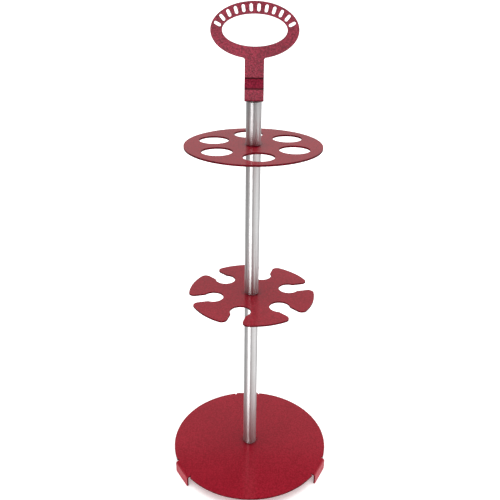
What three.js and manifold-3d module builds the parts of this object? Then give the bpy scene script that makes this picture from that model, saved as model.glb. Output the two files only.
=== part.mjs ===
// A free-standing carry stand for long-handled woodturning tools.
// A round base plate on three folded feet carries a pole in three bolted sections.
// A plate with six open keyhole slots is clamped above the first section,
// a plate with six round holes above the second, and a flat sheet-metal
// carry handle with an oval grip is screwed to the top of the third.
//
// Millimetres, +Z up. The origin is on the floor on the pole's axis, and the handle faces -Y.

import * as THREE from 'three';
import { mergeVertices } from 'three/addons/utils/BufferGeometryUtils.js';
import Module from 'manifold-3d';

// ---------------------------------------------------------------- clearances
const SEAT_GAP = 0.3; // between two faces that are clamped together
const PRESS_GAP = 0.2; // radial, end plug in its tube
const THREAD_GAP = 0.2; // radial, screw in its tapped hole
const BOLT_CLEARANCE = 0.25; // radial, screw through a plate

// ---------------------------------------------------------------- base plate
const BASE_DIAMETER = 305;
const BASE_SHEET = 3;
const BASE_HEIGHT = 24; // floor to the plate's top face
const FOOT_COUNT = 3;
const FOOT_START_DEG = 92.5; // the rear foot, counted from +X
const FOOT_WIDTH = 48;
const FOOT_PROUD = 2.5; // how far a foot's outer face stands beyond the rim
const FOOT_BEND_RADIUS = 2; // inside the bend
const FOOT_CORNER_RADIUS = 3;
const RELIEF_WIDTH = 3; // notch beside each end of the bend
const RELIEF_DEPTH = 2.5; // notch behind the start of the bend

// ---------------------------------------------------------------- pole
const POLE_DIAMETER = 25;
const POLE_WALL = 2;
const POLE_CHAMFER = 1.2;
const LOWER_POLE_LENGTH = 341;
const MIDDLE_POLE_LENGTH = 269;
const UPPER_POLE_LENGTH = 70.5;
const PLUG_BOTTOM = 4; // solid end of a plug behind its tapped hole

// ---------------------------------------------------------------- screws
const SCREW_DIAMETER = 10;
const SCREW_CHAMFER = 1;
const SCREW_REACH = 17; // how far a screw goes into an end plug
const TAP_RUNOUT = 3; // how much deeper the tapped hole is than the screw
const BOLT_HEAD_ACROSS_FLATS = 17;
const BOLT_HEAD_HEIGHT = 6.4;
const WASHER_DIAMETER = 20;
const WASHER_THICKNESS = 2;

// ---------------------------------------------------------------- keyhole plate
const KEYHOLE_PLATE_DIAMETER = 226;
const KEYHOLE_PLATE_SHEET = 3;
const KEYHOLE_COUNT = 6;
const KEYHOLE_TURN_DEG = 14.5;
const POCKET_SETBACK = 43; // rim to the middle of a pocket
const POCKET_DIAMETER = 36;
const MOUTH_WIDTH = 27;
const MOUTH_CORNER_RADIUS = 10; // where a mouth meets the rim
const NECK_RADIUS = 4; // where a mouth meets its pocket

// ---------------------------------------------------------------- hole plate
const HOLE_PLATE_DIAMETER = 226;
const HOLE_PLATE_SHEET = 3;
const HOLE_COUNT = 6;
const HOLE_TURN_DEG = 37;
const HOLE_DIAMETER = 50;
const HOLE_LAND = 17; // rim to the nearest edge of a hole

// ---------------------------------------------------------------- handle
const HANDLE_SHEET = 3;
const SHANK_WIDTH = 30;
const FLANGE_OVERHANG = 0.5; // of the flange's rear edge beyond the pole
const FLANGE_CORNER_RADIUS = 4;
const HANDLE_BEND_RADIUS = 2; // inside every bend
const WASHER_ROOM = 0.5; // between the washer's edge and the start of the shank's bend
const JOGGLE_HEIGHT = 20; // flange's underside to the lower bend
const JOGGLE_RISE = 14; // between the two bends
const GRIP_CENTRE = 103.7; // above the flange's underside
const GRIP_WIDTH = 134;
const GRIP_HEIGHT = 82;
const GRIP_SIDE_BAND = 17.8; // between the oval's outline and its opening
const GRIP_TOP_BAND = 17.8;
const NECK_FILLET = 3; // where the shank meets the grip
const SLOT_COUNT = 12;
const SLOT_LENGTH = 11;
const SLOT_WIDTH = 4.8;
const SLOT_ARC_START_DEG = 16; // the row of slots runs over the grip's top from here

// ---------------------------------------------------------------- smoothness
const CHORD_ERROR = 0.06; // a drawn arc stays this close to the true one
const MAX_ARC_STEP = Math.PI / 16;
const FILLET_STEPS = 5;
const WELD_DISTANCE = 1e-4;
const TUBE_SIDES = 64;
const SCREW_SIDES = 24;

// ---------------------------------------------------------------- derived sizes
const baseRadius = BASE_DIAMETER / 2;
const poleRadius = POLE_DIAMETER / 2;
const boreRadius = poleRadius - POLE_WALL;
const screwRadius = SCREW_DIAMETER / 2;
const plateHoleRadius = screwRadius + BOLT_CLEARANCE;
const tappedDepth = SCREW_REACH + TAP_RUNOUT;

const lowerPoleZ = BASE_HEIGHT + SEAT_GAP;
const keyholePlateZ = lowerPoleZ + LOWER_POLE_LENGTH + SEAT_GAP;
const middlePoleZ = keyholePlateZ + KEYHOLE_PLATE_SHEET + SEAT_GAP;
const holePlateZ = middlePoleZ + MIDDLE_POLE_LENGTH + SEAT_GAP;
const upperPoleZ = holePlateZ + HOLE_PLATE_SHEET + SEAT_GAP;
const handleZ = upperPoleZ + UPPER_POLE_LENGTH + SEAT_GAP;

// ---------------------------------------------------------------- materials
const redCoat = { color: 0x8e2735, roughness: 0.38, metalness: 0.15 };
const brightSteel = { color: 0xc4c5c6, roughness: 0.22, metalness: 1 };
const zincSteel = { color: 0x9b9da0, roughness: 0.42, metalness: 1 };

const wasm = await Module();
wasm.setup();

// A closed three.js geometry as a solid that can be joined and cut.
function toSolid(geometry) {
  const bare = geometry.clone();
  bare.deleteAttribute('normal');
  bare.deleteAttribute('uv');
  const merged = mergeVertices(bare, WELD_DISTANCE);
  const mesh = new wasm.Mesh({
    numProp: 3,
    vertProperties: new Float32Array(merged.attributes.position.array),
    triVerts: new Uint32Array(merged.index.array),
  });
  return new wasm.Manifold(mesh);
}

// The solid's surface as a three.js geometry.
function toGeometry(solid) {
  const { vertProperties, triVerts } = solid.getMesh();
  const geometry = new THREE.BufferGeometry();
  geometry.setAttribute('position', new THREE.BufferAttribute(new Float32Array(vertProperties), 3));
  geometry.setIndex(new THREE.BufferAttribute(new Uint32Array(triVerts), 1));
  geometry.computeVertexNormals();
  return geometry;
}

// Points on an arc from one angle to the other, both in radians, close enough to the true curve.
function arcPoints(x, y, radius, from, to) {
  const step = 2 * Math.acos(1 - CHORD_ERROR / radius);
  const count = Math.max(3, Math.ceil(Math.abs(to - from) / step));
  const points = [];
  for (let i = 0; i <= count; i += 1) {
    const angle = from + ((to - from) * i) / count;
    points.push(new THREE.Vector2(x + radius * Math.cos(angle), y + radius * Math.sin(angle)));
  }
  return points;
}

// Points on an ellipse about (0, y), from one parameter angle to the other.
function ellipsePoints(y, halfWidth, halfHeight, from, to) {
  return arcPoints(0, 0, halfWidth, from, to).map(
    (point) => new THREE.Vector2(point.x, y + (point.y * halfHeight) / halfWidth),
  );
}

function circlePoints(x, y, radius) {
  return arcPoints(x, y, radius, 0, 2 * Math.PI).slice(0, -1);
}

// A flat plate of the given outline and holes, its underside at z = 0.
function plate(outline, holes, thickness) {
  const shape = new THREE.Shape(outline);
  shape.holes = holes.map((points) => new THREE.Path(points));
  return new THREE.ExtrudeGeometry(shape, { depth: thickness, bevelEnabled: false });
}

// A block whose outline is drawn in the vertical plane through the pole's axis and +Y,
// and which runs from x = low to x = high.
function blockAlongX(outline, low, high) {
  const geometry = plate(outline, [], high - low);
  geometry.translate(0, 0, low);
  const turn = new THREE.Matrix4().makeBasis(
    new THREE.Vector3(0, 1, 0),
    new THREE.Vector3(0, 0, 1),
    new THREE.Vector3(1, 0, 0),
  );
  return geometry.applyMatrix4(turn);
}

// A block whose outline is drawn in the vertical plane through the pole's axis and +X,
// centred on y = 0 over the given width.
function blockAlongY(outline, holes, width) {
  const geometry = plate(outline, holes, width);
  geometry.translate(0, 0, -width / 2);
  const turn = new THREE.Matrix4().makeBasis(
    new THREE.Vector3(1, 0, 0),
    new THREE.Vector3(0, 0, 1),
    new THREE.Vector3(0, -1, 0),
  );
  return geometry.applyMatrix4(turn);
}

// A body turned about the Z axis from a profile of [radius, z] pairs.
function turned(profile, sides) {
  const points = profile.map(([radius, z]) => new THREE.Vector2(radius, z));
  const geometry = new THREE.LatheGeometry(points, sides);
  return geometry.rotateX(Math.PI / 2);
}

// The outline of a bent strip: a line through the given corners, each rounded to the
// bend's radius, with half the sheet's thickness on either side.
function bentStrip(corners, thickness, insideRadius) {
  const middleRadius = insideRadius + thickness / 2;
  const line = [{ at: corners[0], along: corners[1].clone().sub(corners[0]).normalize() }];
  for (let i = 1; i < corners.length - 1; i += 1) {
    const before = corners[i].clone().sub(corners[i - 1]).normalize();
    const after = corners[i + 1].clone().sub(corners[i]).normalize();
    const turn = Math.atan2(before.cross(after), before.dot(after));
    const side = Math.sign(turn);
    const setback = middleRadius * Math.tan(Math.abs(turn) / 2);
    const start = corners[i].clone().addScaledVector(before, -setback);
    const centre = new THREE.Vector2(-before.y, before.x).multiplyScalar(side * middleRadius).add(start);
    const steps = Math.max(4, Math.ceil(Math.abs(turn) / MAX_ARC_STEP));
    for (let k = 0; k <= steps; k += 1) {
      const angle = (turn * k) / steps;
      line.push({
        at: start.clone().rotateAround(centre, angle),
        along: before.clone().rotateAround(new THREE.Vector2(), angle),
      });
    }
  }
  const end = corners[corners.length - 1];
  line.push({ at: end, along: end.clone().sub(corners[corners.length - 2]).normalize() });
  const offset = (distance) => line.map(
    ({ at, along }) => new THREE.Vector2(at.x - along.y * distance, at.y + along.x * distance),
  );
  return [...offset(-thickness / 2), ...offset(thickness / 2).reverse()];
}

// A rectangle with round corners.
function roundedRectangle(left, right, bottom, top, radius) {
  const quarter = Math.PI / 2;
  return [
    ...arcPoints(right - radius, bottom + radius, radius, -quarter, 0),
    ...arcPoints(right - radius, top - radius, radius, 0, quarter),
    ...arcPoints(left + radius, top - radius, radius, quarter, 2 * quarter),
    ...arcPoints(left + radius, bottom + radius, radius, 2 * quarter, 3 * quarter),
  ];
}

// ---------------------------------------------------------------- base plate
// One foot at angle 0, its sheet running out of the deck, round the bend and down to the floor.
function footSolid() {
  const half = BASE_SHEET / 2;
  const outerFace = baseRadius + FOOT_PROUD;
  const bendStart = outerFace - BASE_SHEET - FOOT_BEND_RADIUS;
  const profile = bentStrip(
    [
      new THREE.Vector2(bendStart - BASE_SHEET, BASE_HEIGHT - half),
      new THREE.Vector2(outerFace - half, BASE_HEIGHT - half),
      new THREE.Vector2(outerFace - half, 0),
    ],
    BASE_SHEET,
    FOOT_BEND_RADIUS,
  );
  const strip = toSolid(blockAlongY(profile, [], FOOT_WIDTH));
  const rounded = roundedRectangle(
    -FOOT_WIDTH / 2,
    FOOT_WIDTH / 2,
    0,
    BASE_HEIGHT + 2 * FOOT_CORNER_RADIUS,
    FOOT_CORNER_RADIUS,
  );
  return strip.intersect(toSolid(blockAlongX(rounded, bendStart - 2 * BASE_SHEET, outerFace + BASE_SHEET)));
}

function basePlate() {
  const outerFace = baseRadius + FOOT_PROUD;
  const bendStart = outerFace - BASE_SHEET - FOOT_BEND_RADIUS;
  const beyond = outerFace + BASE_SHEET;
  const halfCut = FOOT_WIDTH / 2 + RELIEF_WIDTH;
  const disc = plate(circlePoints(0, 0, baseRadius), [circlePoints(0, 0, plateHoleRadius)], BASE_SHEET);
  disc.translate(0, 0, BASE_HEIGHT - BASE_SHEET);
  let solid = toSolid(disc);

  const notch = plate(
    [
      new THREE.Vector2(bendStart - RELIEF_DEPTH, -halfCut),
      new THREE.Vector2(beyond, -halfCut),
      new THREE.Vector2(beyond, halfCut),
      new THREE.Vector2(bendStart - RELIEF_DEPTH, halfCut),
      new THREE.Vector2(bendStart - RELIEF_DEPTH, FOOT_WIDTH / 2),
      new THREE.Vector2(bendStart, FOOT_WIDTH / 2),
      new THREE.Vector2(bendStart, -FOOT_WIDTH / 2),
      new THREE.Vector2(bendStart - RELIEF_DEPTH, -FOOT_WIDTH / 2),
    ],
    [],
    3 * BASE_SHEET,
  );
  notch.translate(0, 0, BASE_HEIGHT - 2 * BASE_SHEET);
  const foot = toGeometry(footSolid());
  for (let i = 0; i < FOOT_COUNT; i += 1) {
    const angle = THREE.MathUtils.degToRad(FOOT_START_DEG + (360 / FOOT_COUNT) * i);
    solid = solid.subtract(toSolid(notch.clone().rotateZ(angle)));
    solid = solid.add(toSolid(foot.clone().rotateZ(angle)));
  }
  return toGeometry(solid);
}

// ---------------------------------------------------------------- keyhole plate
// The rim is followed anticlockwise, and at each keyhole the outline goes in along one side of
// the mouth, round the pocket and out along the other side.
function keyholePlate() {
  const rim = KEYHOLE_PLATE_DIAMETER / 2;
  const pocket = POCKET_DIAMETER / 2;
  const pocketX = rim - POCKET_SETBACK;
  const side = MOUTH_WIDTH / 2;
  const cornerY = side + MOUTH_CORNER_RADIUS;
  const cornerX = Math.sqrt((rim - MOUTH_CORNER_RADIUS) ** 2 - cornerY ** 2);
  const rimAngle = Math.atan2(cornerY, cornerX);
  const neckY = side + NECK_RADIUS;
  const neckX = pocketX + Math.sqrt((pocket + NECK_RADIUS) ** 2 - neckY ** 2);
  const neckAngle = Math.atan2(neckY, neckX - pocketX);
  const up = Math.PI / 2;
  const keyhole = [
    ...arcPoints(cornerX, -cornerY, MOUTH_CORNER_RADIUS, -rimAngle, up),
    ...arcPoints(neckX, -neckY, NECK_RADIUS, up, Math.PI - neckAngle),
    ...arcPoints(pocketX, 0, pocket, -neckAngle, neckAngle - 2 * Math.PI).slice(1, -1),
    ...arcPoints(neckX, neckY, NECK_RADIUS, neckAngle - Math.PI, -up),
    ...arcPoints(cornerX, cornerY, MOUTH_CORNER_RADIUS, -up, rimAngle),
  ];
  const pitch = (2 * Math.PI) / KEYHOLE_COUNT;
  const outline = [];
  for (let i = 0; i < KEYHOLE_COUNT; i += 1) {
    const angle = pitch * i;
    outline.push(...keyhole.map((point) => point.clone().rotateAround(new THREE.Vector2(), angle)));
    const rimArc = arcPoints(0, 0, rim, angle + rimAngle, angle + pitch - rimAngle);
    outline.push(...rimArc.slice(1, -1));
  }
  return plate(outline, [circlePoints(0, 0, plateHoleRadius)], KEYHOLE_PLATE_SHEET);
}

// ---------------------------------------------------------------- hole plate
function holePlate() {
  const rim = HOLE_PLATE_DIAMETER / 2;
  const holeRadius = HOLE_DIAMETER / 2;
  const circleRadius = rim - HOLE_LAND - holeRadius;
  const holes = [circlePoints(0, 0, plateHoleRadius)];
  for (let i = 0; i < HOLE_COUNT; i += 1) {
    const angle = ((2 * Math.PI) / HOLE_COUNT) * i;
    holes.push(circlePoints(circleRadius * Math.cos(angle), circleRadius * Math.sin(angle), holeRadius));
  }
  return plate(circlePoints(0, 0, rim), holes, HOLE_PLATE_SHEET);
}

// ---------------------------------------------------------------- handle
// A round-ended slot about a point, its length along the given direction.
function slotPoints(centre, direction) {
  const radius = SLOT_WIDTH / 2;
  const reach = SLOT_LENGTH / 2 - radius;
  const heading = Math.atan2(direction.y, direction.x);
  const quarter = Math.PI / 2;
  const outer = centre.clone().addScaledVector(direction, reach);
  const inner = centre.clone().addScaledVector(direction, -reach);
  return [
    ...arcPoints(outer.x, outer.y, radius, heading - quarter, heading + quarter),
    ...arcPoints(inner.x, inner.y, radius, heading + quarter, heading + 3 * quarter),
  ];
}

function handle() {
  const sheet = HANDLE_SHEET;
  const half = sheet / 2;
  const halfShank = SHANK_WIDTH / 2;
  const gripX = GRIP_WIDTH / 2;
  const gripZ = GRIP_HEIGHT / 2;
  const openingX = gripX - GRIP_SIDE_BAND;
  const openingZ = gripZ - GRIP_TOP_BAND;
  const top = GRIP_CENTRE + gripZ;
  const flangeBack = poleRadius + FLANGE_OVERHANG;
  const shankStep = WASHER_DIAMETER / 2 + WASHER_ROOM + HANDLE_BEND_RADIUS + half;

  // the bent sheet seen from the side, as wide as the grip
  const bends = [
    new THREE.Vector2(flangeBack, half),
    new THREE.Vector2(-shankStep, half),
    new THREE.Vector2(-shankStep, JOGGLE_HEIGHT),
    new THREE.Vector2(0, JOGGLE_HEIGHT + JOGGLE_RISE),
    new THREE.Vector2(0, top + sheet),
  ];
  const sideView = bentStrip(bends, sheet, HANDLE_BEND_RADIUS);
  const strip = toSolid(blockAlongX(sideView, -gripX - sheet, gripX + sheet));

  // the blank seen from the front: an oval on a straight shank
  const joinX = halfShank + NECK_FILLET;
  const joinAngle = Math.acos(joinX / gripX);
  const neckZ = GRIP_CENTRE - gripZ * Math.sqrt(1 - (halfShank / gripX) ** 2);
  const joinZ = GRIP_CENTRE - gripZ * Math.sin(joinAngle);
  const rightNeck = new THREE.QuadraticBezierCurve(
    new THREE.Vector2(halfShank, neckZ - NECK_FILLET),
    new THREE.Vector2(halfShank, neckZ),
    new THREE.Vector2(joinX, joinZ),
  ).getPoints(FILLET_STEPS);
  const leftNeck = rightNeck.map((point) => new THREE.Vector2(-point.x, point.y)).reverse();
  const outline = [
    new THREE.Vector2(-halfShank, -sheet),
    new THREE.Vector2(halfShank, -sheet),
    ...rightNeck,
    ...ellipsePoints(GRIP_CENTRE, gripX, gripZ, -joinAngle, Math.PI + joinAngle).slice(1, -1),
    ...leftNeck,
  ];
  const openings = [ellipsePoints(GRIP_CENTRE, openingX, openingZ, 0, 2 * Math.PI).slice(0, -1)];
  const start = THREE.MathUtils.degToRad(SLOT_ARC_START_DEG);
  const slotRow = new THREE.EllipseCurve(
    0,
    GRIP_CENTRE,
    (gripX + openingX) / 2,
    (gripZ + openingZ) / 2,
    start,
    Math.PI - start,
  );
  for (let i = 0; i < SLOT_COUNT; i += 1) {
    const share = i / (SLOT_COUNT - 1);
    const tangent = slotRow.getTangentAt(share);
    openings.push(slotPoints(slotRow.getPointAt(share), new THREE.Vector2(tangent.y, -tangent.x)));
  }
  const blankDepth = 2 * (shankStep + flangeBack + sheet);
  const blank = toSolid(blockAlongY(outline, openings, blankDepth));

  // the flange from above, with its rear corners rounded and a hole for the screw
  const front = -blankDepth;
  const plan = roundedRectangle(-gripX - sheet, gripX + sheet, front, blankDepth, FLANGE_CORNER_RADIUS);
  const flangePlan = roundedRectangle(-halfShank, halfShank, front, flangeBack, FLANGE_CORNER_RADIUS);
  const above = plate(plan, [], top + 2 * sheet);
  above.translate(0, 0, sheet + SEAT_GAP);
  const flangeBlock = plate(flangePlan, [circlePoints(0, 0, plateHoleRadius)], 3 * sheet);
  flangeBlock.translate(0, 0, -sheet);
  const limits = toSolid(above).add(toSolid(flangeBlock));
  return toGeometry(strip.intersect(blank).intersect(limits));
}

// ---------------------------------------------------------------- turned parts
function tube(length) {
  const chamfer = POLE_CHAMFER;
  return turned(
    [
      [boreRadius, 0],
      [poleRadius - chamfer, 0],
      [poleRadius, chamfer],
      [poleRadius, length - chamfer],
      [poleRadius - chamfer, length],
      [boreRadius, length],
      [boreRadius, 0],
    ],
    TUBE_SIDES,
  );
}

// A plug with its tapped hole opening upwards at z = 0.
function endPlug() {
  const outer = boreRadius - PRESS_GAP;
  const tapped = screwRadius + THREAD_GAP;
  const length = tappedDepth + PLUG_BOTTOM;
  return turned(
    [
      [0, -length],
      [outer, -length],
      [outer, 0],
      [tapped, 0],
      [tapped, -tappedDepth],
      [0, -tappedDepth],
    ],
    SCREW_SIDES,
  );
}

// A stud through a sheet of the given thickness and into the plugs on both sides of it.
function stud(sheet) {
  const half = sheet / 2 + SEAT_GAP + SCREW_REACH;
  const end = screwRadius - SCREW_CHAMFER;
  return turned(
    [
      [0, -half],
      [end, -half],
      [screwRadius, SCREW_CHAMFER - half],
      [screwRadius, half - SCREW_CHAMFER],
      [end, half],
      [0, half],
    ],
    SCREW_SIDES,
  );
}

function washer() {
  return turned(
    [
      [plateHoleRadius, 0],
      [WASHER_DIAMETER / 2, 0],
      [WASHER_DIAMETER / 2, WASHER_THICKNESS],
      [plateHoleRadius, WASHER_THICKNESS],
      [plateHoleRadius, 0],
    ],
    SCREW_SIDES,
  );
}

// A hexagon bolt with its head's underside at z = 0 and its shank pointing down.
function hexBolt(shankLength) {
  const corners = [];
  for (let i = 0; i < 6; i += 1) {
    const angle = (Math.PI / 3) * i;
    const reach = BOLT_HEAD_ACROSS_FLATS / 2 / Math.cos(Math.PI / 6);
    corners.push(new THREE.Vector2(reach * Math.cos(angle), reach * Math.sin(angle)));
  }
  const head = toSolid(plate(corners, [], BOLT_HEAD_HEIGHT));
  const end = screwRadius - SCREW_CHAMFER;
  const shank = turned(
    [
      [0, -shankLength],
      [end, -shankLength],
      [screwRadius, SCREW_CHAMFER - shankLength],
      [screwRadius, BOLT_HEAD_HEIGHT / 2],
      [0, BOLT_HEAD_HEIGHT / 2],
    ],
    SCREW_SIDES,
  );
  return toGeometry(head.add(toSolid(shank)));
}

// ---------------------------------------------------------------- assembly
const stand = new THREE.Group();

function addMesh(parent, name, geometry, look, z, turn = 0) {
  const mesh = new THREE.Mesh(geometry, new THREE.MeshStandardMaterial(look));
  mesh.name = name;
  mesh.position.z = z;
  mesh.rotation.z = turn;
  parent.add(mesh);
  return mesh;
}

// A tube with a plug in each end, as one group standing at the given height.
function addPoleSection(name, length, z) {
  const section = new THREE.Group();
  section.position.z = z;
  addMesh(section, `${name}_pole`, tube(length), brightSteel, 0);
  addMesh(section, `${name}_pole_top_plug`, endPlug(), zincSteel, length);
  const bottomPlug = addMesh(section, `${name}_pole_bottom_plug`, endPlug(), zincSteel, 0);
  bottomPlug.rotation.x = Math.PI;
  stand.add(section);
}

addMesh(stand, 'base_plate', basePlate(), redCoat, 0);
addPoleSection('lower', LOWER_POLE_LENGTH, lowerPoleZ);
addPoleSection('middle', MIDDLE_POLE_LENGTH, middlePoleZ);
addPoleSection('upper', UPPER_POLE_LENGTH, upperPoleZ);

const keyholeTurn = THREE.MathUtils.degToRad(KEYHOLE_TURN_DEG);
const holeTurn = THREE.MathUtils.degToRad(HOLE_TURN_DEG);
addMesh(stand, 'keyhole_plate', keyholePlate(), redCoat, keyholePlateZ, keyholeTurn);
addMesh(stand, 'hole_plate', holePlate(), redCoat, holePlateZ, holeTurn);
addMesh(stand, 'handle', handle(), redCoat, handleZ);

const lowerStudZ = keyholePlateZ + KEYHOLE_PLATE_SHEET / 2;
const upperStudZ = holePlateZ + HOLE_PLATE_SHEET / 2;
addMesh(stand, 'lower_joining_stud', stud(KEYHOLE_PLATE_SHEET), zincSteel, lowerStudZ);
addMesh(stand, 'upper_joining_stud', stud(HOLE_PLATE_SHEET), zincSteel, upperStudZ);

// the bolt under the base points up, the one on the handle's flange points down
const clampedStack = SEAT_GAP + WASHER_THICKNESS + SEAT_GAP;
const baseBoltShank = clampedStack + BASE_SHEET + SEAT_GAP + SCREW_REACH;
const baseWasherZ = BASE_HEIGHT - BASE_SHEET - SEAT_GAP - WASHER_THICKNESS;
addMesh(stand, 'base_washer', washer(), zincSteel, baseWasherZ);
const baseBolt = addMesh(stand, 'base_bolt', hexBolt(baseBoltShank), zincSteel, baseWasherZ - SEAT_GAP);
baseBolt.rotation.x = Math.PI;

const handleBoltShank = clampedStack + HANDLE_SHEET + SEAT_GAP + SCREW_REACH;
const handleWasherZ = handleZ + HANDLE_SHEET + SEAT_GAP;
addMesh(stand, 'handle_washer', washer(), zincSteel, handleWasherZ);
const handleBoltZ = handleWasherZ + WASHER_THICKNESS + SEAT_GAP;
addMesh(stand, 'handle_bolt', hexBolt(handleBoltShank), zincSteel, handleBoltZ);

export default stand;
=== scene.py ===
"""A woodturner's tool stand: powder-coated sheet plates and handle on a bright steel pole."""

import math

import bmesh
import bpy
from mathutils import Matrix, Vector


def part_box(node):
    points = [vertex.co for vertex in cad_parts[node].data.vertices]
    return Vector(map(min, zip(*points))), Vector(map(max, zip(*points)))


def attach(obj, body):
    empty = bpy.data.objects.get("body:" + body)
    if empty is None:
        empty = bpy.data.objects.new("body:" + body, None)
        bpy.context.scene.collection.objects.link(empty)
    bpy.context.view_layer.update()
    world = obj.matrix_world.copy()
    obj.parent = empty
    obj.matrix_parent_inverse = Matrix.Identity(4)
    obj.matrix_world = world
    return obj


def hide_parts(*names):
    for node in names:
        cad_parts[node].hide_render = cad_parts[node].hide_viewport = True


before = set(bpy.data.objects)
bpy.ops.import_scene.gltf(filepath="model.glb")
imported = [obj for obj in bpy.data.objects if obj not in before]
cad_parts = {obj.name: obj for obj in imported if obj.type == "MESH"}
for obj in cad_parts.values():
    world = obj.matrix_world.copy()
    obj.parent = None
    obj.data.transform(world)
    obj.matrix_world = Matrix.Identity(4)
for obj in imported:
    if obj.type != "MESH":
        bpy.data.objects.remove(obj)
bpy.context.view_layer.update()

MM = 0.001

# ------------------------------------------------------------------ camera
CAMERA_BACK = 0.9589
CAMERA_HEIGHT = 0.8974
CAMERA_PITCH = math.radians(24.87)
CAMERA_YAW = math.radians(-0.21)
CAMERA_ROLL = math.radians(0.65)
CAMERA_LENS = 43.427


def add_camera():
    data = bpy.data.cameras.new("studio_camera")
    data.lens = CAMERA_LENS
    data.clip_end = 200.0
    camera = bpy.data.objects.new("studio_camera", data)
    bpy.context.scene.collection.objects.link(camera)
    turn = (
        Matrix.Rotation(-CAMERA_YAW, 4, "Z")
        @ Matrix.Rotation(math.pi / 2 - CAMERA_PITCH, 4, "X")
        @ Matrix.Rotation(CAMERA_ROLL, 4, "Z")
    )
    camera.matrix_world = Matrix.Translation((0.0, -CAMERA_BACK, CAMERA_HEIGHT)) @ turn
    bpy.context.scene.camera = camera


add_camera()


# ------------------------------------------------------------------ materials
class Wire:
    """A node's output that can be used in arithmetic."""

    def __init__(self, finish, socket):
        self.finish = finish
        self.socket = socket

    def math(self, operation, left, right):
        return self.finish.node("ShaderNodeMath", {"operation": operation}, {0: left, 1: right})

    def __add__(self, other):
        return self.math("ADD", self, other)

    def __radd__(self, other):
        return self.math("ADD", other, self)

    def __sub__(self, other):
        return self.math("SUBTRACT", self, other)

    def __rsub__(self, other):
        return self.math("SUBTRACT", other, self)

    def __mul__(self, other):
        return self.math("MULTIPLY", self, other)

    def __rmul__(self, other):
        return self.math("MULTIPLY", other, self)

    def between(self, low, high):
        """0 below low, 1 above high, and a smooth step from one to the other."""
        settings = {"interpolation_type": "SMOOTHSTEP", "clamp": True}
        return self.finish.node("ShaderNodeMapRange", settings, {0: self, 1: low, 2: high})


class Finish:
    """A node material that is built from Python expressions."""

    def __init__(self, name):
        self.material = bpy.data.materials.new(name)
        self.material.use_nodes = True
        self.tree = self.material.node_tree
        self.shader = next(n for n in self.tree.nodes if n.type == "BSDF_PRINCIPLED")

    def feed(self, socket, value):
        if isinstance(value, Wire):
            self.tree.links.new(value.socket, socket)
        elif value is not None:
            socket.default_value = value

    def node(self, kind, settings=None, inputs=None, output=0):
        made = self.tree.nodes.new(kind)
        for key, value in (settings or {}).items():
            setattr(made, key, value)
        for key, value in (inputs or {}).items():
            self.feed(made.inputs[key], value)
        return Wire(self, made.outputs[output])

    def place(self, stretch=(1.0, 1.0, 1.0)):
        """The point on the object, in metres, stretched along each axis."""
        point = self.node("ShaderNodeTexCoord", output="Object")
        if stretch == (1.0, 1.0, 1.0):
            return point
        return self.node("ShaderNodeVectorMath", {"operation": "MULTIPLY"}, {0: point, 1: stretch})

    def noise(self, size, detail=2.0, rough=0.5, where=None):
        """Soft noise whose blotches are about the given size in metres."""
        inputs = {"Vector": where or self.place(), "Scale": 1.0 / size}
        inputs.update({"Detail": detail, "Roughness": rough})
        return self.node("ShaderNodeTexNoise", None, inputs)

    def pebbles(self, size):
        """Rounded bumps of about the given size in metres: 1 on a bump's top, 0 between bumps."""
        inputs = {"Vector": self.place(), "Scale": 1.0 / size, "Smoothness": 0.7}
        return 1.0 - self.node("ShaderNodeTexVoronoi", {"feature": "SMOOTH_F1"}, inputs)

    def blend(self, factor, first, second):
        return self.node("ShaderNodeMix", {"data_type": "RGBA"}, {0: factor, 6: first, 7: second}, 2)

    def bump(self, height, distance, strength):
        inputs = {"Height": height, "Distance": distance, "Strength": strength}
        return self.node("ShaderNodeBump", None, inputs)

    def finish(self, **sockets):
        for name, value in sockets.items():
            self.feed(self.shader.inputs[name.replace("_", " ")], value)
        return self.material


CLOUD_SIZE = 50.0 * MM
PEEL_SIZE = 0.8 * MM
# Painted shade: the width of the dark bands laid along the handle's bends, the ring laid round the
# pole's foot and how far its edge wanders, and the dark red of both.
BEND_SHADE_WIDTH = 1.3 * MM
POLE_SHADE_RING = (13.0 * MM, 23.0 * MM)
POLE_SHADE_WANDER = 4.0 * MM
PAINTED_SHADE_RED = (0.060, 0.0015, 0.0060, 1.0)


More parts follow.
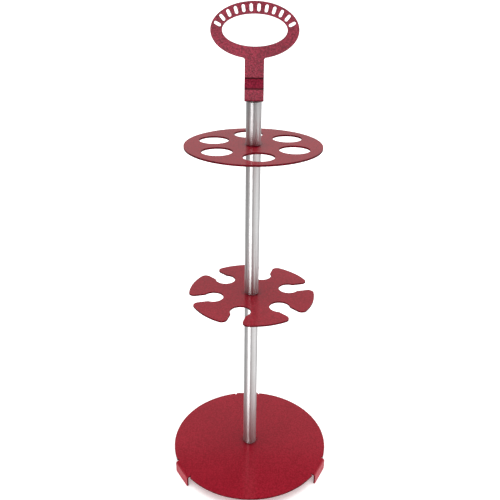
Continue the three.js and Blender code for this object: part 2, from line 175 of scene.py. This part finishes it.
def powder_coat(
    name,
    deep,
    bright,
    pebble_size,
    relief_depth,
    gloss=0.25,
    shine=0.5,
    matt=0.36,
    shaded_round_pole=False,
    shaded_bends=(),
):
    """Red powder coat with a hammered surface: round pebbles, fine orange peel and soft clouds.

    Deep and bright are the reds between the pebbles and on them. Gloss is how much clear top
    layer there is, shine how strongly the coat under it mirrors, and matt how rough that is.
    Along each given bend height a thin dark band of painted shade is laid, and a sheet that a
    pole stands on can get a dark ring of painted shade round the pole's foot.
    """
    coat = Finish(name)
    cloud = coat.noise(CLOUD_SIZE, 3.0)
    pebble = coat.pebbles(pebble_size)
    blotch = coat.noise(pebble_size * 1.6, 2.0)
    peel = coat.noise(PEEL_SIZE, 2.0)
    shade = pebble * 0.45 + blotch * 0.35 + cloud * 0.20
    red = coat.blend(shade.between(0.36, 0.72), deep, bright)
    # painted shade: a dark ring round the pole's foot, where its contact shadow falls
    if shaded_round_pole:
        across = coat.place((1.0, 1.0, 0.0))
        radius = coat.node("ShaderNodeVectorMath", {"operation": "LENGTH"}, {0: across}, 1)
        pole_shade_red = coat.blend(0.60, PAINTED_SHADE_RED, red)
        red = coat.blend((radius + cloud * POLE_SHADE_WANDER).between(*POLE_SHADE_RING), pole_shade_red, red)
    # painted shade: a thin dark band along each bend of the sheet
    if shaded_bends:
        height = coat.node("ShaderNodeSeparateXYZ", None, {0: coat.place()}, 2)
        for bend_shade_height in shaded_bends:
            away = coat.node("ShaderNodeMath", {"operation": "ABSOLUTE"}, {0: height - bend_shade_height})
            red = coat.blend(away.between(0.5 * BEND_SHADE_WIDTH, BEND_SHADE_WIDTH), PAINTED_SHADE_RED, red)
    return coat.finish(
        Base_Color=red,
        Metallic=0.25,
        Specular_IOR_Level=shine,
        Roughness=matt + pebble * (0.25 * matt) + cloud * (0.15 * matt),
        Coat_Weight=gloss,
        Coat_Roughness=0.10,
        Normal=coat.bump(pebble * 0.85 + peel * 0.15, relief_depth, 1.0),
    )


RING_SPACING = 0.30 * MM
RING_DEPTH = 0.001 * MM
SMEAR_SIZE = 30.0 * MM


def bright_tube():
    """Ground steel tube: hair-fine rings round it spread each reflection along its length."""
    steel = Finish("bright_ground_steel")
    rings = steel.noise(RING_SPACING, 2.0, 0.6, steel.place((0.02, 0.02, 1.0)))
    smear = steel.noise(SMEAR_SIZE, 3.0, 0.5, steel.place((1.0, 1.0, 0.3)))
    light = (0.78, 0.78, 0.785, 1.0)
    dull = (0.68, 0.675, 0.67, 1.0)
    return steel.finish(
        Base_Color=steel.blend((rings * 0.5 + smear * 0.5).between(0.35, 0.65), light, dull),
        Metallic=1.0,
        Anisotropic=0.95,
        Anisotropic_Rotation=0.25,
        Roughness=0.34 + rings * 0.03 + smear * 0.02,
        Normal=steel.bump(rings, RING_DEPTH, 0.2),
    )


SPANGLE_SIZE = 1.4 * MM
SPANGLE_DEPTH = 0.05 * MM
STAIN_SIZE = 7.0 * MM


def zinc_plate():
    """Dull zinc-plated steel, as on workshop bolts."""
    zinc = Finish("zinc_plated_steel")
    spangle = zinc.noise(SPANGLE_SIZE, 2.0)
    stain = zinc.noise(STAIN_SIZE, 3.0)
    grey = (0.50, 0.51, 0.53, 1.0)
    straw = (0.58, 0.56, 0.50, 1.0)
    return zinc.finish(
        Base_Color=zinc.blend(stain.between(0.4, 0.7), grey, straw),
        Metallic=1.0,
        Roughness=0.30 + spangle * 0.18,
        Normal=zinc.bump(spangle, SPANGLE_DEPTH, 0.3),
    )


HANDLE_BENDS = (0.5 * MM, 20.0 * MM, 34.0 * MM)
PEBBLE_SIZE = 2.6 * MM
HANDLE_PEBBLE_SIZE = 2.4 * MM
handle_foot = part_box("handle")[0][2]
RED = powder_coat(
    "red_powder_coat",
    (0.250, 0.0035, 0.0140, 1.0),
    (0.360, 0.0080, 0.0250, 1.0),
    PEBBLE_SIZE,
    0.035 * MM,
    matt=0.20,
    # painted shade round the pole's foot
    shaded_round_pole=True,
)
# painted light: a lighter copy of the red for the feet's outer faces, where more light falls
LIT_FOOT_RED = powder_coat(
    "red_coat_painted_light_on_feet",
    (0.320, 0.0060, 0.0210, 1.0),
    (0.430, 0.0100, 0.0310, 1.0),
    PEBBLE_SIZE,
    0.05 * MM,
    gloss=0.03,
    shine=0.12,
)
HAMMERED_RED = powder_coat(
    "hammered_red_powder_coat",
    (0.150, 0.0026, 0.0170, 1.0),
    (0.325, 0.0110, 0.0410, 1.0),
    HANDLE_PEBBLE_SIZE,
    0.60 * MM,
    gloss=0.30,
    shine=0.40,
    # painted shade along the handle's bends
    shaded_bends=[handle_foot + bend for bend in HANDLE_BENDS],
)
# painted shade: a much darker copy of the red for the cut edges, which get little light
SHADED_EDGE_RED = powder_coat(
    "red_coat_painted_shade_on_cut_edges",
    (0.065, 0.0010, 0.0050, 1.0),
    (0.140, 0.0020, 0.0090, 1.0),
    PEBBLE_SIZE,
    0.20 * MM,
    gloss=0.0,
    shine=0.05,
)
STEEL = bright_tube()
ZINC = zinc_plate()


# ------------------------------------------------------------------ pieces
SHEET_EDGE = 0.45 * MM
SHEET_EDGE_STEPS = 3
BASE_SHEET = 3.0 * MM
GRIP_START = 40.0 * MM
ARRIS = math.radians(38)
SAME_PLANE = math.radians(0.5)
WELD_DISTANCE = 0.002 * MM
UPRIGHT = 0.2
SIDEWAYS = 0.5
base_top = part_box("base_plate")[1][2]


def new_object(name, bm, material):
    """The finished mesh as an object at the origin."""
    mesh = bpy.data.meshes.new(name)
    bm.to_mesh(mesh)
    bm.free()
    mesh.materials.clear()
    mesh.materials.append(material)
    mesh.shade_smooth()
    mesh.set_sharp_from_angle(angle=ARRIS)
    made = bpy.data.objects.new(name, mesh)
    bpy.context.scene.collection.objects.link(made)
    return made


def coat_faces(piece, coat, chosen):
    """Another coat on the chosen faces of a sheet-metal part."""
    piece.data.materials.append(coat)
    number = len(piece.data.materials) - 1
    for face in piece.data.polygons:
        if chosen(face):
            face.material_index = number


def install(piece, node, body):
    """The piece stands for a node, which is hidden, and moves with its body."""
    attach(piece, body)
    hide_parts(node)


def coated_sheet(node, body, coat, is_cut):
    """A sheet-metal part with the small round edges that powder coat leaves."""
    bm = bmesh.new()
    bm.from_mesh(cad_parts[node].data)
    bmesh.ops.remove_doubles(bm, verts=bm.verts, dist=WELD_DISTANCE)
    bmesh.ops.dissolve_limit(bm, angle_limit=SAME_PLANE, verts=bm.verts, edges=bm.edges)
    piece = new_object(node + "_coated", bm, coat)
    # the cut edges get a much darker copy of the red: painted shade, as they get little light
    coat_faces(piece, SHADED_EDGE_RED, is_cut)
    edges = piece.modifiers.new("coated_edges", "BEVEL")
    edges.limit_method = "ANGLE"
    edges.angle_limit = ARRIS
    edges.width = SHEET_EDGE
    edges.segments = SHEET_EDGE_STEPS
    flat = piece.modifiers.new("flat_faces", "WEIGHTED_NORMAL")
    flat.keep_sharp = True
    install(piece, node, body)
    return piece


def is_upright(face):
    return abs(face.normal.z) < UPRIGHT


def outward(face):
    """1 where a face looks straight away from the pole's axis, 0 where it looks sideways."""
    return face.normal.dot(Vector((face.center.x, face.center.y, 0.0)).normalized())


def in_base_disc(face):
    return face.center.z > base_top - BASE_SHEET


def cut_on_base(face):
    """The upright faces of the rim and of the screw hole, and the sides of the feet."""
    return is_upright(face) and (in_base_disc(face) or abs(outward(face)) < SIDEWAYS)


def outside_of_foot(face):
    return not in_base_disc(face) and outward(face) > SIDEWAYS


def cut_on_handle(face):
    """The handle bends only about X: a face that looks along X or round the oval is cut."""
    if face.center.z < handle_foot + GRIP_START:
        return abs(face.normal.x) > SIDEWAYS
    return abs(face.normal.y) < SIDEWAYS


def spin_about_pole(bm, geometry, angle, steps, closed):
    bmesh.ops.spin(
        bm,
        geom=geometry,
        cent=(0.0, 0.0, 0.0),
        axis=(0.0, 0.0, 1.0),
        dvec=(0.0, 0.0, 0.0),
        angle=angle,
        steps=steps,
        use_merge=closed,
        use_duplicate=False,
    )


SEAM_WELD = 0.001 * MM


def spun(name, profile, steps, material):
    """A turned part: a closed profile of (radius, height) pairs spun about the pole's axis."""
    bm = bmesh.new()
    corners = [bm.verts.new((radius, 0.0, height)) for radius, height in profile]
    loop = [bm.edges.new((corners[i - 1], corners[i])) for i in range(len(corners))]
    spin_about_pole(bm, corners + loop, math.tau, steps, closed=True)
    bmesh.ops.remove_doubles(bm, verts=bm.verts, dist=SEAM_WELD)
    bmesh.ops.recalc_face_normals(bm, faces=bm.faces)
    return new_object(name, bm, material)


POLE_WALL = 2.0 * MM
POLE_CHAMFER = 1.2 * MM
POLE_ARRIS = 0.25 * MM
POLE_STEPS = 96


def pole_section(node):
    """A tube with a chamfer at each end, and every corner of it broken."""
    low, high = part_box(node)
    radius = (high[0] - low[0]) / 2
    bore = radius - POLE_WALL
    tip = radius - POLE_CHAMFER
    end = [
        (bore, POLE_ARRIS),
        (bore + POLE_ARRIS, 0.0),
        (tip - POLE_ARRIS, 0.0),
        (tip + POLE_ARRIS * 0.5, POLE_ARRIS * 0.5),
        (radius - POLE_ARRIS * 0.4, POLE_CHAMFER - POLE_ARRIS * 0.6),
        (radius, POLE_CHAMFER + POLE_ARRIS),
    ]
    profile = [(r, low[2] + z) for r, z in end] + [(r, high[2] - z) for r, z in reversed(end)]
    install(spun(node + "_tube", profile, POLE_STEPS, STEEL), node, "frame")


WASHER_BORE = 5.25 * MM
WASHER_NICK = 0.3 * MM
WASHER_STEPS = 48


def round_washer(node):
    low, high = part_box(node)
    outer = (high[0] - low[0]) / 2
    face = [
        (WASHER_BORE, WASHER_NICK),
        (WASHER_BORE + WASHER_NICK, 0.0),
        (outer - WASHER_NICK, 0.0),
        (outer, WASHER_NICK),
    ]
    profile = [(r, low[2] + z) for r, z in face] + [(r, high[2] - z) for r, z in reversed(face)]
    install(spun(node + "_ring", profile, WASHER_STEPS, ZINC), node, "frame")


HEAD_FLATS = 17.0 * MM
HEAD_HEIGHT = 6.4 * MM
HEAD_CHAMFER = math.radians(30)
HEAD_FACE = HEAD_FLATS / 2 * 0.95
HEAD_MIDDLE = HEAD_FACE * 0.45
HEAD_STEPS = 48
WASHER_FACE = 0.4 * MM
SCREW_RADIUS = 5.0 * MM
SCREW_CHAMFER = 1.0 * MM
PLAIN_SHANK = 6.0 * MM
THREAD_PITCH = 1.5 * MM
THREAD_DEPTH = 0.9 * MM


def hexagon(angle):
    """Distance from the axis to the hexagon's side at this angle."""
    sixth = math.pi / 3
    return HEAD_FLATS / 2 / math.cos((angle % sixth) - sixth / 2)


def circle(radius):
    return lambda angle: radius


def bolt_rows(length):
    """The bolt's rings from its head's top down: (depth, outline), with no depth on the chamfer."""
    rows = [
        (0.0, circle(HEAD_MIDDLE)),
        (0.0, circle(HEAD_FACE)),
        (None, hexagon),
        (HEAD_HEIGHT - WASHER_FACE, hexagon),
        (HEAD_HEIGHT - WASHER_FACE, circle(HEAD_FACE)),
        (HEAD_HEIGHT, circle(HEAD_FACE)),
        (HEAD_HEIGHT, circle(SCREW_RADIUS)),
    ]
    along = HEAD_HEIGHT + PLAIN_SHANK
    while along < length - SCREW_CHAMFER - THREAD_PITCH:
        rows.append((along, circle(SCREW_RADIUS)))
        rows.append((along + THREAD_PITCH / 2, circle(SCREW_RADIUS - THREAD_DEPTH)))
        along += THREAD_PITCH
    rows.append((length - SCREW_CHAMFER, circle(SCREW_RADIUS)))
    rows.append((length, circle(SCREW_RADIUS - SCREW_CHAMFER)))
    return rows


def ring_edges(bm, ring):
    return [edge for edge in bm.edges if edge.verts[0] in ring and edge.verts[1] in ring]


def hex_bolt(node, head_down):
    """A hexagon bolt: chamfered head, washer face, and a shank with rings for its thread."""
    low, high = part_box(node)
    bm = bmesh.new()
    rings = []
    for depth, outline in bolt_rows(high[2] - low[2]):
        ring = bmesh.ops.create_circle(bm, cap_ends=False, segments=HEAD_STEPS, radius=1.0)["verts"]
        for vert in ring:
            angle = math.atan2(vert.co.y, vert.co.x)
            radius = outline(angle)
            drop = (radius - HEAD_FACE) * math.tan(HEAD_CHAMFER) if depth is None else depth
            vert.co = Vector((radius * math.cos(angle), radius * math.sin(angle), -drop))
        rings.append(set(ring))
    for upper, lower in zip(rings, rings[1:]):
        bmesh.ops.bridge_loops(bm, edges=ring_edges(bm, upper) + ring_edges(bm, lower))
    for end in (rings[0], rings[-1]):
        bmesh.ops.contextual_create(bm, geom=ring_edges(bm, end))
    if head_down:
        bmesh.ops.rotate(bm, verts=bm.verts, matrix=Matrix.Rotation(math.pi, 3, "X"))
    top = low[2] if head_down else high[2]
    bmesh.ops.translate(bm, verts=bm.verts, vec=(0.0, 0.0, top))
    bmesh.ops.recalc_face_normals(bm, faces=bm.faces)
    install(new_object(node + "_hex", bm, ZINC), node, "frame")


base = coated_sheet("base_plate", "frame", RED, cut_on_base)
# painted light: the feet's outer faces get the lighter copy of the red
coat_faces(base, LIT_FOOT_RED, outside_of_foot)
coated_sheet("keyhole_plate", "keyhole_plate", RED, is_upright)
coated_sheet("hole_plate", "hole_plate", RED, is_upright)
coated_sheet("handle", "frame", HAMMERED_RED, cut_on_handle)
for section in ("lower_pole", "middle_pole", "upper_pole"):
    pole_section(section)
round_washer("base_washer")
round_washer("handle_washer")
hex_bolt("base_bolt", head_down=True)
hex_bolt("handle_bolt", head_down=False)

# plugs and studs keep their plain turned shape inside the tubes
for name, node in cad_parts.items():
    if name.endswith("_plug") or name.endswith("_stud"):
        node.data.materials.clear()
        node.data.materials.append(ZINC)


# ------------------------------------------------------------------ studio
FLOOR_HALF = 60.0
FLOOR_WHITE = 0.90
FLOOR_GLOW = 0.30


def add_floor():
    """A white floor, lit a little from below as on a light table, so that its shadows stay faint."""
    white = Finish("studio_white").finish(
        Base_Color=(FLOOR_WHITE, FLOOR_WHITE, FLOOR_WHITE, 1.0),
        Roughness=0.9,
        Emission_Color=(1.0, 1.0, 1.0, 1.0),
        Emission_Strength=FLOOR_GLOW,
    )
    bm = bmesh.new()
    bmesh.ops.create_grid(bm, x_segments=1, y_segments=1, size=FLOOR_HALF)
    new_object("studio_floor", bm, white)


# Boards round the stand, each (from, to, floor, low wall, middle wall, high wall): the first two
# in degrees counted from the front (-Y) towards +X, the others how bright the board's parts are.
# Only mirror reflections see them: they give the pole its light and dark bands.
REFLECTORS = (
    (-45, -9, 2.8, 4.60, 0.03, 0.02),
    (-9, 18, 0.76, 0.76, 0.02, 0.02),
    (18, 50, 1.20, 1.35, 0.05, 0.03),
    (50, 95, 1.35, 1.50, 0.18, 0.10),
    (95, 130, 0.85, 0.75, 0.38, 0.42),
    (130, 235, 0.65, 0.50, 0.35, 0.53),
    (235, 285, 0.58, 0.35, 0.20, 0.15),
    (285, 315, 1.00, 0.60, 0.05, 0.03),
)
REFLECTOR_INNER = 0.165
REFLECTOR_OUTER = 3.0
REFLECTOR_HEIGHTS = (0.7, 1.7, 2.85)
REFLECTOR_LIFT = 1.0 * MM
REFLECTOR_STEPS = 8


def glow(number, part, brightness):
    """A board's finish: even light that doesn't depend on what falls on it."""
    return Finish(f"reflector_glow_{number}_{part}").finish(
        Base_Color=(0.0, 0.0, 0.0, 1.0),
        Specular_IOR_Level=0.0,
        Emission_Color=(1.0, 1.0, 1.0, 1.0),
        Emission_Strength=brightness,
    )


def add_reflectors():
    corners = [(REFLECTOR_INNER, REFLECTOR_LIFT), (REFLECTOR_OUTER, REFLECTOR_LIFT)]
    corners += [(REFLECTOR_OUTER, height) for height in REFLECTOR_HEIGHTS]
    for number, (start, end, *parts) in enumerate(REFLECTORS):
        for part, brightness in enumerate(parts):
            bm = bmesh.new()
            ends = [bm.verts.new((0.0, -radius, height)) for radius, height in corners[part : part + 2]]
            strip = ends + [bm.edges.new(ends)]
            turn = Matrix.Rotation(math.radians(start), 3, "Z")
            bmesh.ops.rotate(bm, verts=bm.verts, cent=(0.0, 0.0, 0.0), matrix=turn)
            spin_about_pole(bm, strip, math.radians(end - start), REFLECTOR_STEPS, closed=False)
            board = new_object(f"reflector_{number}_{part}", bm, glow(number, part, brightness))
            board.visible_camera = False
            board.visible_diffuse = False
            board.visible_shadow = False
            board.visible_transmission = False


SUN_STRENGTH = 2.1
SUN_SPREAD = math.radians(56)
SUN_TILT = math.radians(6)
SUN_SIDE = math.radians(4)
SKY = 0.90


def add_lights():
    """A broad light from above and behind, and an even sky, both only for matt light."""
    data = bpy.data.lights.new("soft_key", "SUN")
    data.energy = SUN_STRENGTH
    data.angle = SUN_SPREAD
    key = bpy.data.objects.new("soft_key", data)
    key.matrix_world = Matrix.Rotation(SUN_SIDE, 4, "Z") @ Matrix.Rotation(SUN_TILT, 4, "X")
    key.visible_glossy = False
    bpy.context.scene.collection.objects.link(key)

    world = bpy.data.worlds.new("studio_world")
    world.use_nodes = True
    world.node_tree.nodes["Background"].inputs["Color"].default_value = (SKY, SKY, SKY, 1.0)
    bpy.context.scene.world = world
    world.cycles_visibility.glossy = False


add_floor()
add_reflectors()
add_lights()
bpy.context.scene.view_settings.view_transform = "Standard"
